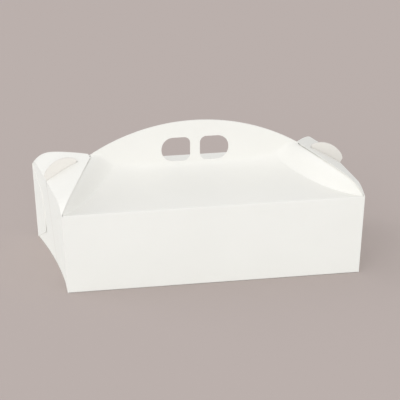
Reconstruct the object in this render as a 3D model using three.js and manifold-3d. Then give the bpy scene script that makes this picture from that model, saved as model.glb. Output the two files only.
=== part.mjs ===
// Pastry carry box: one folded sheet of white card with a two-ply handle on top
// and a slotted end flap at each end that hooks over the handle's tabs.
// Millimetres, +Z up, X along the box, Y from front to back, origin under the middle of the base.
import * as THREE from 'three';
import { mergeVertices } from 'three/addons/utils/BufferGeometryUtils.js';
import Module from 'manifold-3d';

const wasm = await Module();
wasm.setup();

// Driving dimensions
const card = 0.6;
const foldRadius = 0.9;
const seam = 0.3;

const baseLength = 310;
const endLean = 6;
const depth = 196;
const wallHeight = 83.5;
const endRise = 9;
const endBow = 4.5;
const endShoulder = 6;

const glueFlapReach = 50;
const glueFlapTopFall = 19;
const glueFlapFootRise = 21;

const ridgeHeight = 118;
const plyGap = 0.4;
const roofStartSlope = 0.12;
const roofSharpness = 2.8;
const gussetClimb = 0.9;
const gussetSpread = 0.3;
const gussetTuck = 2;
const sideClearance = 1.8;

const handleHeight = 150;
const handleClearance = 1.3;

const holeWidth = 31.5;
const holeHeight = 27.5;
const holeBridge = 10.4;
const holeCentreHeight = 119;
const holeOuterRadius = 12.5;
const holeInnerRadius = 7;

const flapReach = 46.2;
const flapStartSlope = 0.675;
const flapTipRise = 24.8;
const flapPeakReach = 49.12;
const flapEdgeShoulder = 6;
const flapEdgeEase = 12;
const slotWidth = 3;
const slotReach = 34;
const slotDrop = 8;

const hookOverhang = 2.4;
const hookBarbHeight = 4.8;
const hookReach = 32.3;
const hookRise = 25;
const hookBarbCurve = 8.5;
const hookCrownInset = 14;
const hookCrownRise = 5.5;
const hookEndDrop = 3;

// Facets on curved stretches
const foldSteps = 3;
const roofSteps = 14;
const flapSteps = 10;
const flapEdgeSteps = 18;
const endSteps = [3, 6, 5];
const bowSteps = 10;
const curveSteps = 10;

const coatedCard = new THREE.MeshStandardMaterial({ color: 0xf4f3ee, roughness: 0.55, metalness: 0 });

const halfDepth = depth / 2;
const foldX = baseLength / 2 + endLean;
const endHeight = wallHeight + endRise;
const flapEdgeSlope = (flapPeakReach - flapEdgeShoulder) / halfDepth;
const handleSpan = 2 * (foldX - flapReach - handleClearance);
const flapFlattening = (flapStartSlope * flapReach - flapTipRise) / flapReach ** 2;

// Half length of the box at a height, at the middle of the end wall's thickness
function halfLengthAt(z) {
  return baseLength / 2 + endLean * z / endHeight;
}

// The end wall bows in along its foot and is straight along its top fold
function endWallX(y, z) {
  const across = 1 - (y / halfDepth) ** 2;
  return halfLengthAt(z) - endBow * (1 - z / endHeight) * across;
}

// Height of the end flap's middle surface, by distance in from its fold
function flapHeight(reach) {
  return endHeight + flapStartSlope * reach - flapFlattening * reach * reach;
}

// Reach of the end flap's front edge, by distance from the outer face of the front wall
function flapEdgeReach(fromWall) {
  return flapEdgeSlope * fromWall + flapEdgeShoulder * (1 - Math.exp(-fromWall / flapEdgeEase));
}

function softMin(a, b, softness) {
  return -softness * Math.log(Math.exp(-a / softness) + Math.exp(-b / softness));
}

// Height of the roof panel where it lies right under the end flap
function underFlapHeight(x) {
  return flapHeight(foldX - Math.abs(x)) - card - 2 * seam;
}

// Height at which the roof panels have come together as the two plies of the handle
function plyStartHeight(x) {
  return softMin(ridgeHeight, underFlapHeight(x), 1.5);
}

// Reach of the ridge under the end flap's front edge, and of the valley beside it
function gussetLines(fromWall) {
  const ridge = flapEdgeReach(fromWall) - gussetTuck;
  return { ridge, valley: ridge + 2 * gussetTuck + gussetSpread * fromWall };
}

// The end of a roof panel turns up to the end flap: its raised height there, and
// how far it has turned up, from 0 in the valley to 1 at the ridge
function gusset(x, fromWall) {
  const roofZ = wallHeight - card / 2;
  const height = softMin(underFlapHeight(x), roofZ + gussetClimb * fromWall, 1);
  const { ridge, valley } = gussetLines(fromWall);
  const turnedUp = 1 - THREE.MathUtils.smoothstep(foldX - Math.abs(x), ridge, valley);
  return { height, turnedUp };
}

function toSolid(geometry) {
  const bare = geometry.index ? geometry : geometry.clone();
  bare.deleteAttribute('normal');
  bare.deleteAttribute('uv');
  const merged = mergeVertices(bare, 1e-4);
  return new wasm.Manifold(new wasm.Mesh({
    numProp: 3,
    vertProperties: new Float32Array(merged.attributes.position.array),
    triVerts: new Uint32Array(merged.index.array),
  }));
}

function toMesh(name, solid) {
  const result = solid.getMesh();
  const geometry = new THREE.BufferGeometry();
  geometry.setAttribute('position', new THREE.BufferAttribute(result.vertProperties, 3));
  geometry.setIndex(new THREE.BufferAttribute(result.triVerts, 1));
  geometry.computeVertexNormals();
  const mesh = new THREE.Mesh(geometry, coatedCard);
  mesh.name = name;
  return mesh;
}

// Outline drawn in X and Z, given thickness from yFront to yBack
function frontPrism(shape, yFront, yBack) {
  const settings = { depth: yBack - yFront, bevelEnabled: false, curveSegments: curveSteps };
  const geometry = new THREE.ExtrudeGeometry(shape, settings);
  const toFront = new THREE.Matrix4().makeBasis(
    new THREE.Vector3(1, 0, 0), new THREE.Vector3(0, 0, 1), new THREE.Vector3(0, -1, 0));
  geometry.applyMatrix4(toFront);
  geometry.translate(0, yBack, 0);
  return toSolid(geometry);
}

// Outline drawn in Y and Z, given thickness from xLeft to xRight
function sidePrism(shape, xLeft, xRight) {
  const settings = { depth: xRight - xLeft, bevelEnabled: false, curveSegments: curveSteps };
  const geometry = new THREE.ExtrudeGeometry(shape, settings);
  const toSide = new THREE.Matrix4().makeBasis(
    new THREE.Vector3(0, 1, 0), new THREE.Vector3(0, 0, 1), new THREE.Vector3(1, 0, 0));
  geometry.applyMatrix4(toSide);
  geometry.translate(xLeft, 0, 0);
  return toSolid(geometry);
}

// Outline drawn in X and Y, given thickness from zLow to zHigh
function planPrism(shape, zLow, zHigh) {
  const settings = { depth: zHigh - zLow, bevelEnabled: false, curveSegments: curveSteps };
  const geometry = new THREE.ExtrudeGeometry(shape, settings);
  geometry.translate(0, 0, zLow);
  return toSolid(geometry);
}

function polygon(points) {
  return new THREE.Shape(points.map(([a, b]) => new THREE.Vector2(a, b)));
}

// Closed slab between two grids of points of the same size, rows by columns
function slab(near, far) {
  const rows = near.length;
  const columns = near[0].length;
  const positions = [...near.flat(), ...far.flat()].flatMap((p) => [p.x, p.y, p.z]);
  const at = (side, i, j) => side * rows * columns + i * columns + j;
  const triangles = [];
  const quad = (a, b, c, d) => triangles.push(a, c, b, a, d, c);
  for (let i = 0; i + 1 < rows; i += 1) {
    for (let j = 0; j + 1 < columns; j += 1) {
      quad(at(0, i, j), at(0, i, j + 1), at(0, i + 1, j + 1), at(0, i + 1, j));
      quad(at(1, i, j), at(1, i + 1, j), at(1, i + 1, j + 1), at(1, i, j + 1));
    }
    quad(at(0, i, 0), at(0, i + 1, 0), at(1, i + 1, 0), at(1, i, 0));
    quad(at(0, i + 1, columns - 1), at(0, i, columns - 1), at(1, i, columns - 1), at(1, i + 1, columns - 1));
  }
  for (let j = 0; j + 1 < columns; j += 1) {
    quad(at(0, 0, j + 1), at(0, 0, j), at(1, 0, j), at(1, 0, j + 1));
    quad(at(0, rows - 1, j), at(0, rows - 1, j + 1), at(1, rows - 1, j + 1), at(1, rows - 1, j));
  }
  const geometry = new THREE.BufferGeometry();
  geometry.setAttribute('position', new THREE.Float32BufferAttribute(positions, 3));
  geometry.setIndex(triangles);
  return toSolid(geometry);
}

// Quarter turn of a fold's middle line, its centre and start angle in the Y, Z plane
function foldArc(cy, cz, startAngle, turn) {
  const points = [];
  for (let k = 0; k <= foldSteps; k += 1) {
    const angle = startAngle + turn * k / foldSteps * Math.PI / 2;
    points.push(new THREE.Vector2(cy + foldRadius * Math.cos(angle), cz + foldRadius * Math.sin(angle)));
  }
  return points;
}

// Middle line of the base and of the front and back walls, in the Y, Z plane
function trayLine() {
  const wallY = halfDepth - card / 2;
  const wallTop = wallHeight - card / 2 - foldRadius;
  const line = [new THREE.Vector2(-wallY, wallTop)];
  line.push(...foldArc(-wallY + foldRadius, card / 2 + foldRadius, Math.PI, 1));
  line.push(...foldArc(wallY - foldRadius, card / 2 + foldRadius, 1.5 * Math.PI, 1));
  line.push(new THREE.Vector2(wallY, wallTop));
  return line;
}

// X of the right half's columns of points at a distance from the front wall: they follow
// the end flap's edge and the valley beside it, then run out into the middle of the panel
function columnsAt(fromWall) {
  const { ridge, valley } = gussetLines(fromWall);
  const stops = [foldX + hookOverhang + card, foldX - ridge, foldX - valley, handleSpan / 4];
  const columns = [stops[0]];
  endSteps.forEach((steps, part) => {
    for (let k = 1; k <= steps; k += 1) {
      columns.push(stops[part] + (stops[part + 1] - stops[part]) * k / steps);
    }
  });
  return columns;
}

// Line of points along the front roof panel and its ply of the handle, in one column
// from the top of the wall, at the middle of the card
function roofLine(column, sign) {
  const wallY = -halfDepth + card / 2;
  const roofZ = wallHeight - card / 2;
  const arcY = wallY + foldRadius;
  const plyY = -(plyGap + card) / 2;
  const xAt = (fromWall) => columnsAt(fromWall)[column];
  const fold = [new THREE.Vector2(wallY, roofZ - foldRadius - card)];
  fold.push(...foldArc(arcY, roofZ - foldRadius, Math.PI, -1));
  const line = fold.map((p) => new THREE.Vector3(sign * xAt(0), p.x, p.y));
  for (let k = 1; k <= roofSteps; k += 1) {
    const turn = k / roofSteps * Math.PI / 2;
    const across = Math.sin(turn) ** (2 / roofSharpness);
    const up = 1 - Math.cos(turn) ** (2 / roofSharpness);
    const y = arcY + (plyY - arcY) * across;
    const x = xAt(y - arcY);
    const rise = plyStartHeight(x) - roofZ;
    const middleness = THREE.MathUtils.smoothstep(foldX - x, 0, foldX - handleSpan / 4);
    const startRise = roofStartSlope * middleness * (plyY - arcY);
    const hollowZ = roofZ + startRise * across + (rise - startRise) * up;
    const { height, turnedUp } = gusset(x, y - arcY);
    line.push(new THREE.Vector3(sign * x, y, hollowZ + Math.max(height - hollowZ, 0) * turnedUp));
  }
  line.push(new THREE.Vector3(line[line.length - 1].x, plyY, handleHeight + card));
  return line;
}

// Left and right faces of the card along its middle line
function thicken(line) {
  const left = [];
  const right = [];
  line.forEach((point, k) => {
    const before = line[Math.max(k - 1, 0)];
    const after = line[Math.min(k + 1, line.length - 1)];
    const along = after.clone().sub(before).normalize();
    const side = new THREE.Vector2(-along.y, along.x).multiplyScalar(card / 2);
    left.push(point.clone().add(side));
    right.push(point.clone().sub(side));
  });
  return [left, right];
}

// Roof panel and handle ply as one curved sheet, on the front side (-1) or the back side (1)
function roofSheet(side) {
  const columnCount = columnsAt(0).length;
  const grid = [];
  for (let column = 0; column < columnCount; column += 1) {
    grid.push(roofLine(column, -1));
  }
  for (let column = columnCount - 1; column >= 0; column -= 1) {
    grid.push(roofLine(column, 1));
  }
  const outer = [];
  const inner = [];
  grid.forEach((row, i) => {
    const rowBefore = grid[Math.max(i - 1, 0)];
    const rowAfter = grid[Math.min(i + 1, grid.length - 1)];
    const offsets = row.map((point, j) => {
      const across = rowAfter[j].clone().sub(rowBefore[j]);
      const along = row[Math.min(j + 1, row.length - 1)].clone().sub(row[Math.max(j - 1, 0)]);
      return across.cross(along).setLength(card / 2);
    });
    const face = (shift) => row.map((point, j) => {
      const placed = point.clone().addScaledVector(offsets[j], shift);
      return new THREE.Vector3(placed.x, -side * placed.y, placed.z);
    });
    outer.push(face(1));
    inner.push(face(-1));
  });
  return side < 0 ? slab(outer, inner) : slab(inner, outer);
}

// Right half of a path, from the bottom to the middle of the top, with its mirror image
function mirrored(path) {
  const right = path.getPoints(curveSteps);
  const left = right.filter((p) => Math.abs(p.x) > 1e-6).map((p) => new THREE.Vector2(-p.x, p.y));
  return new THREE.Shape([...right, ...left.reverse()]);
}

// Roof panel and handle ply seen from the front, with a hook beyond each end of the arch
function plyOutline() {
  const archFoot = handleSpan / 2;
  const archFootHeight = flapHeight(foldX - archFoot) + card;
  const archRise = handleHeight - archFootHeight;
  const archRadius = (archFoot ** 2 + archRise ** 2) / (2 * archRise);
  const archStart = Math.acos(archFoot / archRadius);
  const underFlap = card / 2 + 2 * seam;
  const hookEndX = foldX - hookReach;
  const barbX = foldX + hookOverhang;
  const barbZ = endHeight + hookBarbHeight;
  const path = new THREE.Path();
  path.moveTo(halfLengthAt(wallHeight) - sideClearance, wallHeight - foldRadius - 2 * card);
  path.lineTo(foldX - sideClearance, endHeight - seam);
  path.lineTo(barbX - card, barbZ - card);
  path.quadraticCurveTo(barbX + card / 2, barbZ, barbX, barbZ + card);
  path.bezierCurveTo(
    barbX, barbZ + hookBarbCurve,
    foldX - hookCrownInset, endHeight + hookRise + hookCrownRise,
    hookEndX, endHeight + hookRise - hookEndDrop);
  path.lineTo(hookEndX, flapHeight(hookReach) - underFlap);
  path.lineTo(archFoot, flapHeight(foldX - archFoot) - underFlap);
  path.absarc(0, handleHeight - archRadius, archRadius, archStart, Math.PI / 2, false);
  return mirrored(path);
}

// Front wall seen from the front, out to the outer face of the glue flaps
function wallOutline() {
  const path = new THREE.Path();
  path.moveTo(halfLengthAt(0) + 1.5 * card, 0);
  path.lineTo(halfLengthAt(wallHeight) + 1.5 * card, wallHeight);
  return mirrored(path);
}

// One finger hole, rounder on its outer side
function fingerHole(sign) {
  const inner = holeBridge / 2;
  const outer = inner + holeWidth;
  const low = holeCentreHeight - holeHeight / 2;
  const high = holeCentreHeight + holeHeight / 2;
  const path = new THREE.Path();
  path.absarc(inner + holeInnerRadius, high - holeInnerRadius, holeInnerRadius, Math.PI / 2, Math.PI, false);
  path.absarc(inner + holeInnerRadius, low + holeInnerRadius, holeInnerRadius, Math.PI, 1.5 * Math.PI, false);
  path.absarc(outer - holeOuterRadius, low + holeOuterRadius, holeOuterRadius, 1.5 * Math.PI, 2 * Math.PI, false);
  path.absarc(outer - holeOuterRadius, high - holeOuterRadius, holeOuterRadius, 0, Math.PI / 2, false);
  const points = path.getPoints(curveSteps / 2).map((p) => new THREE.Vector2(sign * p.x, p.y));
  return new THREE.Shape(points);
}

// Base with the front and back walls, its ends cut to the bowed foot of the end walls
function makeTray() {
  const [above, below] = thicken(trayLine());
  const reach = foldX + 3 * card;
  const section = sidePrism(new THREE.Shape([...above, ...below.reverse()]), -reach, reach);
  let tray = section.intersect(frontPrism(wallOutline(), -halfDepth - card, halfDepth + card));
  for (const sign of [-1, 1]) {
    tray = tray.subtract(baseEndTrim(sign));
  }
  return tray;
}

// One roof panel with its ply of the handle, its finger holes and its hooks
function makeRoof(side) {
  const reach = halfDepth + card;
  let roof = roofSheet(side).intersect(frontPrism(plyOutline(), -reach, reach));
  for (const sign of [-1, 1]) {
    roof = roof.subtract(frontPrism(fingerHole(sign), -reach, reach));
  }
  return roof;
}

// What lies outside the bowed foot of an end wall, between the front and back walls
function baseEndTrim(sign) {
  const points = [];
  const reachY = halfDepth - card;
  for (let k = 0; k <= bowSteps; k += 1) {
    const y = reachY * (2 * k / bowSteps - 1);
    points.push([sign * endWallX(y, 0), y]);
  }
  points.push([sign * (foldX + 2 * card), reachY]);
  points.push([sign * (foldX + 2 * card), -reachY]);
  return planPrism(polygon(points), -card, foldRadius + card);
}

// Slab that follows the end wall, offset outward by a number of card thicknesses
function endSlab(sign, offset, yStart, yEnd) {
  const near = [];
  const far = [];
  for (let k = 0; k <= bowSteps; k += 1) {
    const y = yStart + (yEnd - yStart) * k / bowSteps;
    const column = (shift) => [0, endHeight].map(
      (z) => new THREE.Vector3(sign * (endWallX(y, z) + shift), y, z));
    near.push(column((offset - 0.5) * card));
    far.push(column((offset + 0.5) * card));
  }
  return sign > 0 ? slab(far, near) : slab(near, far);
}

// End wall seen from the side, its shoulders cut down to the front and back walls
function endWallOutline() {
  const reachY = halfDepth - card / 2;
  const top = endHeight - card / 2 - seam;
  const shoulder = halfDepth - endShoulder;
  return polygon([
    [-reachY, 0],
    [reachY, 0],
    [reachY, wallHeight - card],
    [shoulder, top],
    [slotWidth / 2, top],
    [slotWidth / 2, endHeight - slotDrop],
    [-slotWidth / 2, endHeight - slotDrop],
    [-slotWidth / 2, top],
    [-shoulder, top],
    [-reachY, wallHeight - card],
  ]);
}

function makeEndWall(sign) {
  const reachY = halfDepth - card / 2;
  const wall = endSlab(sign, 0, -reachY, reachY);
  const block = [0, sign * (foldX + 4 * card)];
  return wall.intersect(sidePrism(endWallOutline(), Math.min(...block), Math.max(...block)));
}

// Tapered glue flap of the front or back wall, on the outer face of the end wall
function makeGlueFlap(sign, side) {
  const corner = side * halfDepth;
  const tip = side * (halfDepth - glueFlapReach);
  const flap = endSlab(sign, 1, Math.min(corner, tip), Math.max(corner, tip));
  const outline = polygon([
    [corner, 0],
    [tip, glueFlapFootRise],
    [tip, wallHeight - glueFlapTopFall],
    [corner, wallHeight],
  ]);
  const block = [0, sign * (foldX + 4 * card)];
  return flap.intersect(sidePrism(outline, Math.min(...block), Math.max(...block)));
}

function makeCarton() {
  let carton = makeTray().add(makeRoof(-1)).add(makeRoof(1));
  for (const sign of [-1, 1]) {
    carton = carton.add(makeEndWall(sign));
    for (const side of [-1, 1]) {
      carton = carton.add(makeGlueFlap(sign, side));
    }
  }
  return carton;
}

// Middle line of the end flap's arched section, from its fold to its tip
function flapLine(sign) {
  const line = [];
  for (let k = 0; k <= flapSteps; k += 1) {
    const reach = flapReach * k / flapSteps;
    line.push(new THREE.Vector2(sign * (foldX - reach), flapHeight(reach)));
  }
  return line;
}

// Section of the end flap, seen from the front
function flapSection(sign) {
  const [upper, lower] = thicken(flapLine(sign));
  return new THREE.Shape([...upper, ...lower.reverse()]);
}

// Plan of the end flap: its edges run in from the end wall's shoulders to a blunt tip
function flapPlan(sign) {
  const root = foldX + card;
  const tip = foldX - flapReach - card;
  const edge = [new THREE.Vector2(halfDepth - endShoulder, root)];
  const edgeStart = flapEdgeReach(endShoulder);
  edge.push(new THREE.Vector2(halfDepth - endShoulder, foldX - edgeStart / 2));
  let fromWall = endShoulder;
  const step = (halfDepth - endShoulder) / flapEdgeSteps;
  while (flapEdgeReach(fromWall + step) < flapReach) {
    fromWall += step;
    edge.push(new THREE.Vector2(halfDepth - fromWall, foldX - flapEdgeReach(fromWall)));
  }
  edge.push(new THREE.Vector2(halfDepth - fromWall - step, tip));
  const outline = [...edge, ...edge.map((p) => new THREE.Vector2(-p.x, p.y)).reverse()];
  return new THREE.Shape(outline.map((p) => new THREE.Vector2(sign * p.y, p.x)));
}

// Slot from the fold inward, round at its inner end
function flapSlot(sign) {
  const half = slotWidth / 2;
  const path = new THREE.Path();
  path.moveTo(foldX + card, -half);
  path.lineTo(foldX + card, half);
  path.lineTo(foldX - slotReach + half, half);
  path.absarc(foldX - slotReach + half, 0, half, Math.PI / 2, 1.5 * Math.PI, false);
  return new THREE.Shape(path.getPoints(curveSteps).map((p) => new THREE.Vector2(sign * p.x, p.y)));
}

function makeEndFlap(sign) {
  const section = frontPrism(flapSection(sign), -halfDepth, halfDepth);
  const lowZ = endHeight - 2 * card;
  const plan = planPrism(flapPlan(sign), lowZ, handleHeight);
  const slot = planPrism(flapSlot(sign), lowZ, handleHeight);
  return section.intersect(plan).subtract(slot);
}

const group = new THREE.Group();
group.add(toMesh('carton', makeCarton()));
group.add(toMesh('left_end_flap', makeEndFlap(-1)));
group.add(toMesh('right_end_flap', makeEndFlap(1)));

export default group;
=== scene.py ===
import math

import bmesh
import bpy
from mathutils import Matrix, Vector


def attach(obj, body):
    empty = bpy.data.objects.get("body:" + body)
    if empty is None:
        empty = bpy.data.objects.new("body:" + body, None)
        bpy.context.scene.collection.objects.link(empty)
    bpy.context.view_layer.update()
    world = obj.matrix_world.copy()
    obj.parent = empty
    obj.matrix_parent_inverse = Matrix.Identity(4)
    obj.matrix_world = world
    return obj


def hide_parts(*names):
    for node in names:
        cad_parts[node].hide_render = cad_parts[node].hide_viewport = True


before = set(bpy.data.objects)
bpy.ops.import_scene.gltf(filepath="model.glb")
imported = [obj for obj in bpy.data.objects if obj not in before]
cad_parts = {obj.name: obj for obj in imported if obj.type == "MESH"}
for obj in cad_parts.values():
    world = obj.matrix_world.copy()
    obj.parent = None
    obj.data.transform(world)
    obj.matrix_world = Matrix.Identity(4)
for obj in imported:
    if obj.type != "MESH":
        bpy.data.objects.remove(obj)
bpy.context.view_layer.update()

MM = 0.001

# Sizes of the folded card sheet in millimetres
CARD = 0.6
FOLD_RADIUS = 0.9
SEAM = 0.3
SINK = 0.06
BASE_LENGTH = 310
END_LEAN = 6
DEPTH = 196
WALL_HEIGHT = 83.5
END_RISE = 9
END_BOW = 4.5
CORNER_DROP = 9
CORNER_RUN = 30
CORNER_FADE = 12
GLUE_FLAP_REACH = 50
GLUE_FLAP_TOP_FALL = 19
GLUE_FLAP_FOOT_RISE = 21
FRONT_FLAP_LIFT = 1.8
BACK_FLAP_LIFT = 0.9
RIDGE_HEIGHT = 106
RIDGE_END_RISE = 12
PLY_GAP = 0.4
PLY_FOLD_RADIUS = 1
RIDGE_SOFTNESS = 1.5
ROOF_START_LIFT = 2.4
ROOF_START_RUN = 18
ROOF_SHARPNESS = 2.35
GUSSET_CLIMB = 1.25
GUSSET_EASE = 1.2
GUSSET_SPREAD = 0.25
GUSSET_TUCK = 1.5
GUSSET_SOFTNESS = 1
SIDE_CLEARANCE = 0.7
HANDLE_HEIGHT = 150
HANDLE_CLEARANCE = 1.3
HOLE_WIDTH = 31.5
HOLE_HEIGHT = 25.8
HOLE_BRIDGE = 10.4
HOLE_CENTRE_HEIGHT = 119
HOLE_OUTER_RADIUS = 12.5
HOLE_INNER_RADIUS = 7
FLAP_REACH = 46.2
FLAP_START_SLOPE = 0.675
FLAP_TIP_RISE = 24.8
FLAP_PEAK_REACH = 49.12
FLAP_EDGE_SHOULDER = 6
FLAP_EDGE_EASE = 12
SLOT_WIDTH = 3
SLOT_REACH = 34
SLOT_DROP = 8
HOOK_OVERHANG = 2.4
HOOK_BARB_HEIGHT = 4.8
HOOK_REACH = 32.3
HOOK_RISE = 25
HOOK_BARB_CURVE = 8.5
HOOK_CROWN_INSET = 14
HOOK_CROWN_RISE = 5.5
HOOK_END_DROP = 3

HALF_DEPTH = DEPTH / 2
FOLD_X = BASE_LENGTH / 2 + END_LEAN
END_HEIGHT = WALL_HEIGHT + END_RISE
FLAP_EDGE_SLOPE = (FLAP_PEAK_REACH - FLAP_EDGE_SHOULDER) / HALF_DEPTH
HANDLE_SPAN = 2 * (FOLD_X - FLAP_REACH - HANDLE_CLEARANCE)
FLAP_FLATTENING = (FLAP_START_SLOPE * FLAP_REACH - FLAP_TIP_RISE) / FLAP_REACH ** 2

# Fineness of the curved stretches
FOLD_STEPS = 8
ROOF_STEPS = 56
ROOF_SAMPLES = 4000
ROOF_CROWDING = 0.9
PLY_STEPS = 6
FLAP_STEPS = 32
BOW_STEPS = 32
FLAP_EDGE_STEPS = 60
END_STEPS = (14, 24, 20)
MIDDLE_STEPS = 12
CURVE_STEPS = 28
CORNER_STEPS = 12
OUTER_CORNER_STEPS = 18
END_WALL_ROWS = 12
FLAP_COLUMNS = 96
ROUND_STEPS = 24


def half_length_at(z):
    """Half the box's length at a height, to the middle of the end wall."""
    return BASE_LENGTH / 2 + END_LEAN * z / END_HEIGHT


def end_wall_x(y, z):
    """The end wall bows in along its foot and is straight along its top fold."""
    across = 1 - (y / HALF_DEPTH) ** 2
    return half_length_at(z) - END_BOW * (1 - z / END_HEIGHT) * across


def flap_height(reach):
    """Height of the end flap's middle surface, by distance in from its fold."""
    return END_HEIGHT + FLAP_START_SLOPE * reach - FLAP_FLATTENING * reach * reach


def corner_drop(from_wall, reach=0):
    """How far the end flap comes down to the box's corner, fading out along its reach."""
    return CORNER_DROP * max(1 - from_wall / CORNER_RUN, 0) ** 2 * math.exp(-reach / CORNER_FADE)


def flap_edge_reach(from_wall):
    """Reach of the end flap's front edge, by distance from the front wall."""
    shoulder = FLAP_EDGE_SHOULDER * (1 - math.exp(-from_wall / FLAP_EDGE_EASE))
    return FLAP_EDGE_SLOPE * from_wall + shoulder


def soft_min(a, b, softness):
    """The lower of two heights, rounded over where they meet."""
    return -softness * math.log(math.exp(-a / softness) + math.exp(-b / softness))


def smooth_step(value, low, high):
    """0 below the low value, 1 above the high one, and an even S between them."""
    t = min(max((value - low) / (high - low), 0), 1)
    return t * t * (3 - 2 * t)


def under_flap_height(x):
    """Height of the roof panel where it lies right under the end flap."""
    return flap_height(FOLD_X - abs(x)) - CARD - SEAM


def ply_start_height(x):
    """Height at which the roof panels meet as the two plies of the handle."""
    end = smooth_step(abs(x), HANDLE_SPAN / 4, HANDLE_SPAN / 2)
    return soft_min(RIDGE_HEIGHT + RIDGE_END_RISE * end, under_flap_height(x), RIDGE_SOFTNESS)


def gusset_lines(from_wall):
    """Reach of the ridge under the end flap's front edge and of the valley beside it."""
    ridge = flap_edge_reach(from_wall) - GUSSET_TUCK
    return ridge, ridge + 2 * GUSSET_TUCK + GUSSET_SPREAD * from_wall


def gusset(x, from_wall):
    """Raised height of a roof panel's end, and how far it has turned up there."""
    roof_z = WALL_HEIGHT - CARD / 2
    climb = GUSSET_CLIMB * (from_wall - GUSSET_EASE * (1 - math.exp(-from_wall / GUSSET_EASE)))
    under_flap = under_flap_height(x) - corner_drop(from_wall, FOLD_X - abs(x))
    height = soft_min(under_flap, roof_z + climb, GUSSET_SOFTNESS)
    ridge, valley = gusset_lines(from_wall)
    return height, 1 - smooth_step(FOLD_X - abs(x), ridge, valley)


# Outlines as lists of 2D points in millimetres
def arc(cx, cy, radius, start, end, steps=CURVE_STEPS):
    points = []
    for k in range(steps + 1):
        angle = math.radians(start + (end - start) * k / steps)
        points.append((cx + radius * math.cos(angle), cy + radius * math.sin(angle)))
    return points


def bezier(controls, steps=CURVE_STEPS):
    """Points on a Bezier curve of any degree, without its first point."""
    points = []
    for k in range(1, steps + 1):
        t = k / steps
        level = [Vector(c) for c in controls]
        while len(level) > 1:
            level = [a.lerp(b, t) for a, b in zip(level, level[1:])]
        points.append(tuple(level[0]))
    return points


def mirrored(right_half):
    """A closed outline from its right half, listed from the bottom to the top."""
    left = [(-x, y) for x, y in reversed(right_half) if abs(x) > 1e-6]
    return right_half + left


def sheet_outline():
    """Front wall, roof panel, handle ply and hooks seen from the front."""
    arch_foot = HANDLE_SPAN / 2
    arch_foot_height = flap_height(FOLD_X - arch_foot) + CARD
    arch_rise = HANDLE_HEIGHT - arch_foot_height
    arch_radius = (arch_foot ** 2 + arch_rise ** 2) / (2 * arch_rise)
    arch_start = math.degrees(math.acos(arch_foot / arch_radius))
    under_flap = CARD / 2 + 2 * SEAM
    hook_end_x = FOLD_X - HOOK_REACH
    barb_x = FOLD_X + HOOK_OVERHANG
    barb_z = END_HEIGHT + HOOK_BARB_HEIGHT
    wall_top = WALL_HEIGHT - FOLD_RADIUS
    wall_overhang = 1.5 * CARD
    points = [
        (half_length_at(0) + wall_overhang, -CARD),
        (half_length_at(wall_top) + wall_overhang, wall_top),
        (half_length_at(WALL_HEIGHT) - SIDE_CLEARANCE, wall_top),
        (FOLD_X - SIDE_CLEARANCE, END_HEIGHT - SEAM),
        (barb_x - CARD, barb_z - CARD),
    ]
    points += bezier([points[-1], (barb_x + CARD / 2, barb_z), (barb_x, barb_z + CARD)], 6)
    points += bezier([
        points[-1],
        (barb_x, barb_z + HOOK_BARB_CURVE),
        (FOLD_X - HOOK_CROWN_INSET, END_HEIGHT + HOOK_RISE + HOOK_CROWN_RISE),
        (hook_end_x, END_HEIGHT + HOOK_RISE - HOOK_END_DROP),
    ])
    points.append((hook_end_x, flap_height(HOOK_REACH) - under_flap))
    points.append((arch_foot, flap_height(FOLD_X - arch_foot) - under_flap))
    points += arc(0, HANDLE_HEIGHT - arch_radius, arch_radius, arch_start, 90, 2 * CURVE_STEPS)
    return mirrored(points)


def finger_hole(sign):
    """One finger hole, rounder on its outer side."""
    inner = HOLE_BRIDGE / 2
    outer = inner + HOLE_WIDTH
    low = HOLE_CENTRE_HEIGHT - HOLE_HEIGHT / 2
    high = HOLE_CENTRE_HEIGHT + HOLE_HEIGHT / 2
    r = HOLE_INNER_RADIUS
    big = HOLE_OUTER_RADIUS
    points = arc(inner + r, high - r, r, 90, 180, CORNER_STEPS)
    points += arc(inner + r, low + r, r, 180, 270, CORNER_STEPS)
    points += arc(outer - big, low + big, big, 270, 360, OUTER_CORNER_STEPS)
    points += arc(outer - big, high - big, big, 0, 90, OUTER_CORNER_STEPS)
    return [(sign * x, z) for x, z in points]


def base_end_trim(sign):
    """Plan of what lies outside an end wall's bowed foot, between the long walls."""
    reach = HALF_DEPTH - CARD / 2
    points = []
    for k in range(BOW_STEPS + 1):
        y = reach * (2 * k / BOW_STEPS - 1)
        points.append((sign * end_wall_x(y, 0), y))
    far = FOLD_X + 3 * CARD
    return points + [(sign * far, reach), (sign * far, -reach)]


def end_wall_outline():
    """End wall seen from the side, its top fold coming down to the long walls."""
    reach = HALF_DEPTH - CARD / 2
    top = END_HEIGHT - CARD / 2
    half_slot = SLOT_WIDTH / 2
    right = [(reach, 0)]
    for k in range(CURVE_STEPS + 1):
        from_wall = CARD / 2 + (CORNER_RUN - CARD / 2) * k / CURVE_STEPS
        right.append((HALF_DEPTH - from_wall, top - corner_drop(from_wall)))
    right += [(half_slot, top), (half_slot, END_HEIGHT - SLOT_DROP)]
    return mirrored(right)


def glue_flap_outline(side):
    """Tapered glue flap seen from the side, from the box's corner to its free edge."""
    corner = side * HALF_DEPTH
    tip = side * (HALF_DEPTH - GLUE_FLAP_REACH)
    return [
        (corner, 0),
        (tip, GLUE_FLAP_FOOT_RISE),
        (tip, WALL_HEIGHT - GLUE_FLAP_TOP_FALL),
        (corner, WALL_HEIGHT),
    ]


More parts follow.
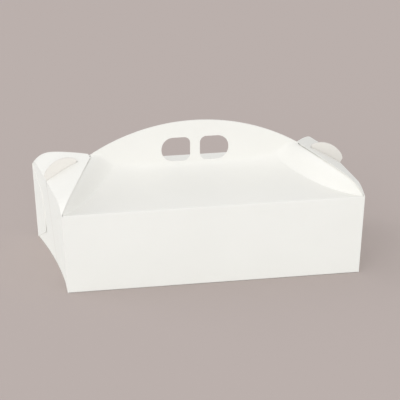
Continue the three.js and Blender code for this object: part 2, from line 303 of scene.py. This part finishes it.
def flap_plan(sign):
    """Plan of an end flap: its edges run in from the box's corners to a blunt tip."""
    tip_x = FOLD_X - FLAP_REACH - CARD
    edge = [(HALF_DEPTH - SEAM, FOLD_X + CARD)]
    step = (HALF_DEPTH - SEAM) / FLAP_EDGE_STEPS
    from_wall = SEAM
    while flap_edge_reach(from_wall + step) < FLAP_REACH:
        from_wall += step
        edge.append((HALF_DEPTH - from_wall, FOLD_X - flap_edge_reach(from_wall)))
    edge.append((HALF_DEPTH - from_wall - step, tip_x))
    outline = edge + [(-y, x) for y, x in reversed(edge)]
    return [(sign * x, y) for y, x in outline]


def flap_slot(sign):
    """Plan of the slot in an end flap, round at its inner end."""
    half = SLOT_WIDTH / 2
    round_x = FOLD_X - SLOT_REACH + half
    points = [(FOLD_X + 2 * CARD, -half), (FOLD_X + 2 * CARD, half)]
    points += arc(round_x, 0, half, 90, 270, CORNER_STEPS)
    return [(sign * x, y) for x, y in points]


# Meshes
def new_object(name, vertices, faces):
    mesh = bpy.data.meshes.new(name)
    mesh.from_pydata([tuple(c * MM for c in v) for v in vertices], [], faces)
    mesh.validate()
    obj = bpy.data.objects.new(name, mesh)
    bpy.context.scene.collection.objects.link(obj)
    face_outward(obj)
    return obj


def face_outward(obj):
    """Turn every face of a closed mesh to look outward."""
    work = bmesh.new()
    work.from_mesh(obj.data)
    bmesh.ops.recalc_face_normals(work, faces=work.faces)
    work.to_mesh(obj.data)
    work.free()


def prism(name, outline, place, low, high):
    """Outline given thickness; place turns (a, b, depth) into (x, y, z)."""
    count = len(outline)
    vertices = [place(a, b, low) for a, b in outline]
    vertices += [place(a, b, high) for a, b in outline]
    faces = [list(range(count)), list(range(2 * count - 1, count - 1, -1))]
    for k in range(count):
        after = (k + 1) % count
        faces.append([k, after, count + after, count + k])
    return new_object(name, vertices, faces)


def seen_from_front(a, b, depth):
    return (a, depth, b)


def seen_from_side(a, b, depth):
    return (depth, a, b)


def seen_from_above(a, b, depth):
    return (a, b, depth)


def slab(name, near, far):
    """Closed slab between two grids of points of the same size."""
    rows = len(near)
    columns = len(near[0])
    vertices = [p for grid in (near, far) for row in grid for p in row]

    def at(side, i, j):
        return side * rows * columns + i * columns + j

    faces = []
    for i in range(rows - 1):
        for j in range(columns - 1):
            for side in (0, 1):
                faces.append([at(side, i, j), at(side, i, j + 1), at(side, i + 1, j + 1), at(side, i + 1, j)])
        for j in (0, columns - 1):
            faces.append([at(0, i, j), at(0, i + 1, j), at(1, i + 1, j), at(1, i, j)])
    for j in range(columns - 1):
        for i in (0, rows - 1):
            faces.append([at(0, i, j), at(0, i, j + 1), at(1, i, j + 1), at(1, i, j)])
    return new_object(name, vertices, faces)


def cut(obj, cutter, operation):
    """Boolean with its result applied; the cutter is used up."""
    modifier = obj.modifiers.new("cut", "BOOLEAN")
    modifier.operation = operation
    modifier.solver = "EXACT"
    modifier.object = cutter
    bpy.context.view_layer.update()
    evaluated = obj.evaluated_get(bpy.context.evaluated_depsgraph_get())
    result = bpy.data.meshes.new_from_object(evaluated)
    obj.modifiers.clear()
    obj.data = result
    bpy.data.objects.remove(cutter)


def shade_smooth(obj, angle=30):
    for polygon in obj.data.polygons:
        polygon.use_smooth = True
    obj.data.set_sharp_from_angle(angle=math.radians(angle))


def fold_arc(cy, cz, start, turn):
    return arc(cy, cz, FOLD_RADIUS, start, start + turn * 90, FOLD_STEPS)


def columns_at(from_wall):
    """X of the right half's columns of points at a distance from the front wall.

    They follow the end flap's edge and the valley beside it, then run out into
    the middle of the panel."""
    ridge, valley = gusset_lines(from_wall)
    stops = [FOLD_X + HOOK_OVERHANG + 2 * CARD, FOLD_X - ridge, FOLD_X - valley, HANDLE_SPAN / 4]
    columns = [stops[0]]
    for part, steps in enumerate(END_STEPS):
        span = stops[part + 1] - stops[part]
        columns += [stops[part] + span * k / steps for k in range(1, steps + 1)]
    columns += [stops[3] * (1 - k / MIDDLE_STEPS) for k in range(1, MIDDLE_STEPS + 1)]
    return columns


def roof_curve():
    """Points of the roof's section as shares of its run and rise.

    They are even along the curve, but crowded near the fold at the wall."""
    samples = []
    for k in range(ROOF_SAMPLES + 1):
        turn = k / ROOF_SAMPLES * math.pi / 2
        across = math.sin(turn) ** (2 / ROOF_SHARPNESS)
        samples.append((across, 1 - math.cos(turn) ** (2 / ROOF_SHARPNESS)))
    lengths = [0]
    for before, after in zip(samples, samples[1:]):
        run = (after[0] - before[0]) * HALF_DEPTH
        rise = (after[1] - before[1]) * (RIDGE_HEIGHT - WALL_HEIGHT)
        lengths.append(lengths[-1] + math.hypot(run, rise))
    points = []
    k = 0
    for step in range(1, ROOF_STEPS):
        share = step / ROOF_STEPS
        wanted = lengths[-1] * share * (1 - ROOF_CROWDING * (1 - share) ** 4)
        while lengths[k + 1] < wanted:
            k += 1
        t = (wanted - lengths[k]) / (lengths[k + 1] - lengths[k])
        points.append(tuple(a + (b - a) * t for a, b in zip(samples[k], samples[k + 1])))
    return points + [(1, 1)]


def roof_height(x, y_from_fold, up, ply_reach):
    """Height of the middle of a roof panel at one point."""
    roof_z = WALL_HEIGHT - CARD / 2
    rise = ply_start_height(x) - roof_z
    middleness = smooth_step(FOLD_X - x, 0, FOLD_X - HANDLE_SPAN / 4)
    start_lift = ROOF_START_LIFT * middleness
    started = 1 - math.exp(-y_from_fold / ROOF_START_RUN)
    hollow_z = roof_z + start_lift * started + (rise - start_lift) * up
    height, turned_up = gusset(x, y_from_fold)
    to_ply = max(PLY_FOLD_RADIUS - (ply_reach - y_from_fold), 0)
    height += PLY_FOLD_RADIUS - math.sqrt(PLY_FOLD_RADIUS ** 2 - to_ply ** 2)
    return hollow_z + max(height - hollow_z, 0) * turned_up


def front_half_profile():
    """Y and Z along the base and the front wall to the roof's fold, the Y where
    the roof panel starts, and the Y of the handle ply."""
    wall_y = -HALF_DEPTH + CARD / 2
    floor_z = CARD / 2
    roof_z = WALL_HEIGHT - CARD / 2
    arc_y = wall_y + FOLD_RADIUS
    ply_y = -(PLY_GAP + CARD) / 2
    flat = [(0, floor_z)]
    flat += fold_arc(arc_y, floor_z + FOLD_RADIUS, 270, -1)
    flat += fold_arc(arc_y, roof_z - FOLD_RADIUS, 180, -1)
    return flat, arc_y, ply_y


def front_half_lines():
    """Lines of points along half the sheet, one for each column of the right half."""
    flat, arc_y, ply_y = front_half_profile()
    lines = [[(x, y, z) for y, z in flat] for x in columns_at(0)]
    for across, up in roof_curve():
        from_fold = (ply_y - arc_y) * across
        for line, x in zip(lines, columns_at(from_fold)):
            z = roof_height(x, from_fold, up, ply_y - arc_y)
            line.append((x, arc_y + from_fold, z))
    for line in lines:
        x, y, start = line[-1]
        top = HANDLE_HEIGHT + CARD
        line += [(x, ply_y, start + (top - start) * k / PLY_STEPS) for k in range(1, PLY_STEPS + 1)]
    return lines


def thicken_grid(grid):
    """Both faces of the card about a grid of points on its middle surface."""
    near = []
    far = []
    for i, row in enumerate(grid):
        row_before = grid[max(i - 1, 0)]
        row_after = grid[min(i + 1, len(grid) - 1)]
        near.append([])
        far.append([])
        for j, point in enumerate(row):
            across = Vector(row_after[j]) - Vector(row_before[j])
            along = Vector(row[min(j + 1, len(row) - 1)]) - Vector(row[max(j - 1, 0)])
            offset = across.cross(along).normalized() * (CARD / 2)
            near[-1].append(tuple(Vector(point) + offset))
            far[-1].append(tuple(Vector(point) - offset))
    return near, far


def make_sheet():
    """Base, long walls, roof panels and handle plies as one continuous slab."""
    right_half = []
    for front in front_half_lines():
        back = [(x, -y, z) for x, y, z in front]
        right_half.append(list(reversed(front)) + back[1:])
    left_half = [[(-x, y, z) for x, y, z in row] for row in right_half[:-1]]
    near, far = thicken_grid(left_half + list(reversed(right_half)))
    sheet = slab("sheet", near, far)
    reach = HALF_DEPTH + 2
    cut(sheet, prism("outline", sheet_outline(), seen_from_front, -reach, reach), "INTERSECT")
    for sign in (-1, 1):
        hole = prism("hole", finger_hole(sign), seen_from_front, -reach, reach)
        cut(sheet, hole, "DIFFERENCE")
        trim = prism("trim", base_end_trim(sign), seen_from_above, -CARD, FOLD_RADIUS + CARD)
        cut(sheet, trim, "DIFFERENCE")
    return sheet


def end_slab(name, sign, offset_at, y_start, y_end):
    """Slab along the end wall, its middle offset outward by a distance given by Y and Z."""
    heights = [SINK + (END_HEIGHT - SINK) * i / END_WALL_ROWS for i in range(END_WALL_ROWS + 1)]
    near = []
    far = []
    for k in range(BOW_STEPS + 1):
        y = y_start + (y_end - y_start) * k / BOW_STEPS
        middle = [end_wall_x(y, z) + offset_at(y, z) for z in heights]
        near.append([(sign * (x - CARD / 2), y, z) for x, z in zip(middle, heights)])
        far.append([(sign * (x + CARD / 2), y, z) for x, z in zip(middle, heights)])
    return slab(name, near, far)


def end_prism(outline, sign):
    block = sorted([0, sign * (FOLD_X + 4 * CARD)])
    return prism("outline", outline, seen_from_side, block[0], block[1])


def make_end_wall(sign):
    reach = HALF_DEPTH - CARD / 2
    wall = end_slab("end_wall", sign, lambda y, z: 0, -reach, reach)
    cut(wall, end_prism(end_wall_outline(), sign), "INTERSECT")
    return wall


def make_glue_flap(sign, side):
    """Glue flap whose free edge stands a little off the end wall."""
    def offset_at(y, z):
        run = (HALF_DEPTH - abs(y)) / GLUE_FLAP_REACH
        lift = FRONT_FLAP_LIFT * run
        if side > 0:
            lift = BACK_FLAP_LIFT * smooth_step(run, 0.6, 1) * (1 - smooth_step(z, 10, 40))
        return CARD - SINK + lift

    ends = sorted([side * (HALF_DEPTH - SINK), side * (HALF_DEPTH - GLUE_FLAP_REACH)])
    flap = end_slab("glue_flap", sign, offset_at, ends[0], ends[1])
    cut(flap, end_prism(glue_flap_outline(side), sign), "INTERSECT")
    return flap


def make_carton():
    carton = make_sheet()
    for sign in (-1, 1):
        cut(carton, make_end_wall(sign), "UNION")
        for side in (-1, 1):
            cut(carton, make_glue_flap(sign, side), "UNION")
    carton.name = "carton_sheet"
    return carton


def tube(name, rings):
    """Closed tube through rings of points, one after another."""
    count = len(rings[0])
    vertices = [point for ring in rings for point in ring]
    faces = [list(range(count)), list(range(len(vertices) - 1, len(vertices) - count - 1, -1))]
    for i in range(len(rings) - 1):
        for k in range(count):
            after = (k + 1) % count
            faces.append([i * count + k, i * count + after, (i + 1) * count + after, (i + 1) * count + k])
    return new_object(name, vertices, faces)


def flap_fold(sign, y_start, y_end):
    """Round of card along an end flap's fold, following it down to the corner."""
    rings = []
    for k in range(FLAP_STEPS + 1):
        y = y_start + (y_end - y_start) * k / FLAP_STEPS
        z = END_HEIGHT - corner_drop(HALF_DEPTH - abs(y))
        circle = arc(sign * FOLD_X, z, CARD / 2, 0, 360, ROUND_STEPS)[:-1]
        rings.append([(ring_x, y, ring_z) for ring_x, ring_z in circle])
    return tube("fold", rings)


def make_end_flap(name, sign):
    """Arched end flap with its slot, and the round of card along its fold."""
    grid = []
    for i in range(FLAP_COLUMNS + 1):
        y = HALF_DEPTH * (2 * i / FLAP_COLUMNS - 1)
        row = []
        for k in range(FLAP_STEPS + 1):
            reach = FLAP_REACH * k / FLAP_STEPS
            z = flap_height(reach) - corner_drop(HALF_DEPTH - abs(y), reach)
            row.append((sign * (FOLD_X - reach), y, z))
        grid.append(row)
    near, far = thicken_grid(grid)
    flap = slab(name, near, far)
    low = WALL_HEIGHT - 2 * CARD
    cut(flap, prism("plan", flap_plan(sign), seen_from_above, low, HANDLE_HEIGHT), "INTERSECT")
    cut(flap, prism("slot", flap_slot(sign), seen_from_above, low, HANDLE_HEIGHT), "DIFFERENCE")
    half_slot = SLOT_WIDTH / 2
    cut(flap, flap_fold(sign, half_slot, HALF_DEPTH - SEAM), "UNION")
    cut(flap, flap_fold(sign, SEAM - HALF_DEPTH, -half_slot), "UNION")
    return flap


# Material: coated white card
def number_node(nodes, operation, second=None):
    """Node that works on numbers, with its second input set where it has a fixed one."""
    node = nodes.new("ShaderNodeMath")
    node.operation = operation
    if second is not None:
        node.inputs[1].default_value = second
    return node


def end_strip(nodes, links, place):
    """1 on a strip of the box's middle line at each end, which takes in the hooks, 0 elsewhere: where shade
    is painted.

    The strip is as wide as a slot and has no limit in height, so the middle of
    each end wall under the hook lies in it too."""
    point = nodes.new("ShaderNodeSeparateXYZ")
    links.new(place.outputs["Object"], point.inputs["Vector"])
    out = number_node(nodes, "ABSOLUTE")
    links.new(point.outputs["X"], out.inputs[0])
    beyond = number_node(nodes, "GREATER_THAN", (FOLD_X - HOOK_REACH - CARD) * MM)
    links.new(out.outputs["Value"], beyond.inputs[0])
    off = number_node(nodes, "ABSOLUTE")
    links.new(point.outputs["Y"], off.inputs[0])
    within = number_node(nodes, "LESS_THAN", SLOT_WIDTH / 2 * MM)
    links.new(off.outputs["Value"], within.inputs[0])
    both = number_node(nodes, "MULTIPLY")
    links.new(beyond.outputs["Value"], both.inputs[0])
    links.new(within.outputs["Value"], both.inputs[1])
    return both.outputs["Value"]


def hook_painted_shade_tone(nodes, links, place, tone):
    """Tone of the card with painted shade: a little darker on the hooks."""
    painted_shade = nodes.new("ShaderNodeMix")
    painted_shade.data_type = "RGBA"
    painted_shade.blend_type = "MULTIPLY"
    # Painted shade: the card's tone is multiplied darker on the hooks and the strip below them
    painted_shade.inputs["B"].default_value = (0.92, 0.9, 0.89, 1)
    links.new(end_strip(nodes, links, place), painted_shade.inputs["Factor"])
    links.new(tone.outputs["Color"], painted_shade.inputs["A"])
    return painted_shade.outputs["Result"]


def noise(nodes, links, place, scale, detail):
    texture = nodes.new("ShaderNodeTexNoise")
    texture.inputs["Scale"].default_value = scale
    texture.inputs["Detail"].default_value = detail
    links.new(place.outputs["Object"], texture.inputs["Vector"])
    return texture.outputs["Fac"]


def bump(nodes, links, height, strength, distance):
    """Bump whose distance is in millimetres."""
    relief = nodes.new("ShaderNodeBump")
    relief.inputs["Strength"].default_value = strength
    relief.inputs["Distance"].default_value = distance * MM
    links.new(height, relief.inputs["Height"])
    return relief


def make_card_material():
    material = bpy.data.materials.new("white_card")
    material.use_nodes = True
    nodes = material.node_tree.nodes
    links = material.node_tree.links
    shader = nodes["Principled BSDF"]
    shader.inputs["Specular IOR Level"].default_value = 0.35
    place = nodes.new("ShaderNodeTexCoord")

    cloud = noise(nodes, links, place, scale=14, detail=3)
    tone = nodes.new("ShaderNodeValToRGB")
    tone.color_ramp.elements[0].position = 0.3
    tone.color_ramp.elements[0].color = (0.882, 0.874, 0.834, 1)
    tone.color_ramp.elements[1].position = 0.7
    tone.color_ramp.elements[1].color = (0.898, 0.890, 0.852, 1)
    links.new(cloud, tone.inputs["Fac"])
    # Base colour, with shade painted darker on the hooks
    links.new(hook_painted_shade_tone(nodes, links, place, tone), shader.inputs["Base Color"])

    sheen = nodes.new("ShaderNodeMapRange")
    sheen.inputs["To Min"].default_value = 0.42
    sheen.inputs["To Max"].default_value = 0.56
    links.new(cloud, sheen.inputs["Value"])
    links.new(sheen.outputs["Result"], shader.inputs["Roughness"])

    ripple = noise(nodes, links, place, scale=22, detail=2)
    fibre = noise(nodes, links, place, scale=900, detail=4)
    wave = bump(nodes, links, ripple, strength=0.25, distance=1.2)
    grain = bump(nodes, links, fibre, strength=0.12, distance=0.05)
    links.new(wave.outputs["Normal"], grain.inputs["Normal"])
    links.new(grain.outputs["Normal"], shader.inputs["Normal"])
    return material


# Plain floor and soft light, the floor's sizes in millimetres
FLOOR_REACH = 12000
FLOOR_GAP = 0.1


def make_floor_material():
    """Pale floor: the tone that lights the card, and the backdrop's tone that the camera sees."""
    material = bpy.data.materials.new("floor")
    material.use_nodes = True
    nodes = material.node_tree.nodes
    links = material.node_tree.links
    shader = nodes["Principled BSDF"]
    shader.inputs["Roughness"].default_value = 0.9
    shader.inputs["Specular IOR Level"].default_value = 0
    path = nodes.new("ShaderNodeLightPath")
    seen = nodes.new("ShaderNodeMix")
    seen.data_type = "RGBA"
    seen.inputs["A"].default_value = (0.72, 0.71, 0.70, 1)
    seen.inputs["B"].default_value = (0.53, 0.463, 0.441, 1)
    links.new(path.outputs["Is Camera Ray"], seen.inputs["Factor"])
    links.new(seen.outputs["Result"], shader.inputs["Base Color"])
    return material


def add_floor():
    reach = FLOOR_REACH
    corners = [(-reach, -reach, 0), (reach, -reach, 0), (reach, reach, 0), (-reach, reach, 0)]
    floor = new_object("floor", corners, [[0, 1, 2, 3]])
    floor.location.z = -FLOOR_GAP * MM
    floor.data.materials.append(make_floor_material())


def add_sun(name, towards, strength, spread):
    """Sun lamp in a direction given from the box, its disc's spread in degrees."""
    light = bpy.data.lights.new(name, "SUN")
    light.energy = strength
    light.angle = math.radians(spread)
    lamp = bpy.data.objects.new(name, light)
    lamp.rotation_euler = Vector(towards).to_track_quat("Z", "Y").to_euler()
    bpy.context.scene.collection.objects.link(lamp)


def add_light():
    add_sun("key", (-0.42, -0.86, 0.18), strength=1.13, spread=50)
    add_sun("left", (-0.85, 0.5, 0.15), strength=0.8, spread=60)
    world = bpy.data.worlds.new("studio")
    world.use_nodes = True
    background = world.node_tree.nodes["Background"]
    background.inputs["Color"].default_value = (1, 1, 1, 1)
    background.inputs["Strength"].default_value = 0.81
    bpy.context.scene.world = world


# Camera fitted to the photograph: angles in degrees, places in metres, lens in millimetres
CAMERA_AZIMUTH = 12.43
CAMERA_ELEVATION = 17.18
CAMERA_DISTANCE = 2.6894
CAMERA_TARGET = (0.0055, 0.0, 0.0604)
CAMERA_LENS = 225
CAMERA_SENSOR = 36


def add_camera():
    data = bpy.data.cameras.new("camera")
    data.lens = CAMERA_LENS
    data.sensor_width = CAMERA_SENSOR
    camera = bpy.data.objects.new("camera", data)
    azimuth = math.radians(CAMERA_AZIMUTH)
    elevation = math.radians(CAMERA_ELEVATION)
    back = Vector((
        -math.sin(azimuth) * math.cos(elevation),
        -math.cos(azimuth) * math.cos(elevation),
        math.sin(elevation)))
    camera.location = Vector(CAMERA_TARGET) + back * CAMERA_DISTANCE
    camera.rotation_euler = back.to_track_quat("Z", "Y").to_euler()
    bpy.context.scene.collection.objects.link(camera)
    bpy.context.scene.camera = camera


def dress(piece, body, node, material):
    """Give a piece its material and put it in the place of the solid it shows."""
    shade_smooth(piece)
    piece.data.materials.clear()
    piece.data.materials.append(material)
    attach(piece, body)
    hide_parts(node)


bpy.context.scene.view_settings.view_transform = "Standard"
card = make_card_material()
dress(make_carton(), "box", "carton", card)
dress(make_end_flap("left_flap_card", -1), "left_flap", "left_end_flap", card)
dress(make_end_flap("right_flap_card", 1), "right_flap", "right_end_flap", card)
add_floor()
add_light()
add_camera()
